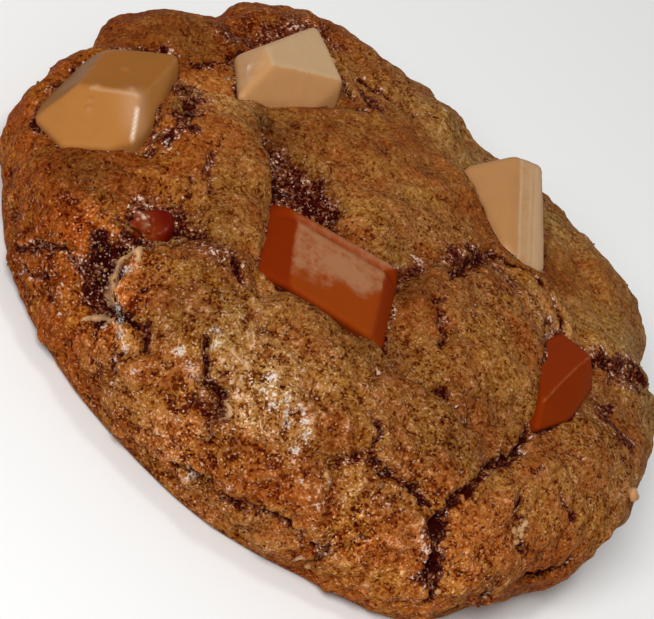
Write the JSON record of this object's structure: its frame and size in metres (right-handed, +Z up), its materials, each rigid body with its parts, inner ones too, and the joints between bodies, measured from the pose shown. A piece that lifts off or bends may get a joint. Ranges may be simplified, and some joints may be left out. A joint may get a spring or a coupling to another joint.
{
  "type": "cookie",
  "caption": "Thick round chocolate cookie with a cracked, lumpy crust and cut chocolate pieces baked into its top.",
  "frame": {"origin": "middle of the cookie's bounding box seen from above, on the plane of its flat base", "axes": "+Z up through the thickness; +X to the right and +Y away from the side that the cut pieces face"},
  "size_m": [0.0894, 0.0886, 0.0256],
  "materials": {
    "crust": "baked cocoa crust, grainy, dull with small moist glints",
    "milk_chocolate": "smooth milk chocolate, soft sheen",
    "dark_chocolate": "smooth darker chocolate, soft sheen with bloom"
  },
  "bodies": {
    "root": {"dough": "crust", "milk_chunk_left": "milk_chocolate", "milk_chunk_back": "milk_chocolate", "milk_chunk_right": "milk_chocolate", "dark_chunk_centre": "dark_chocolate", "dark_chunk_right": "dark_chocolate", "dark_chunk_sunken": "dark_chocolate"}
  },
  "joints": []
}
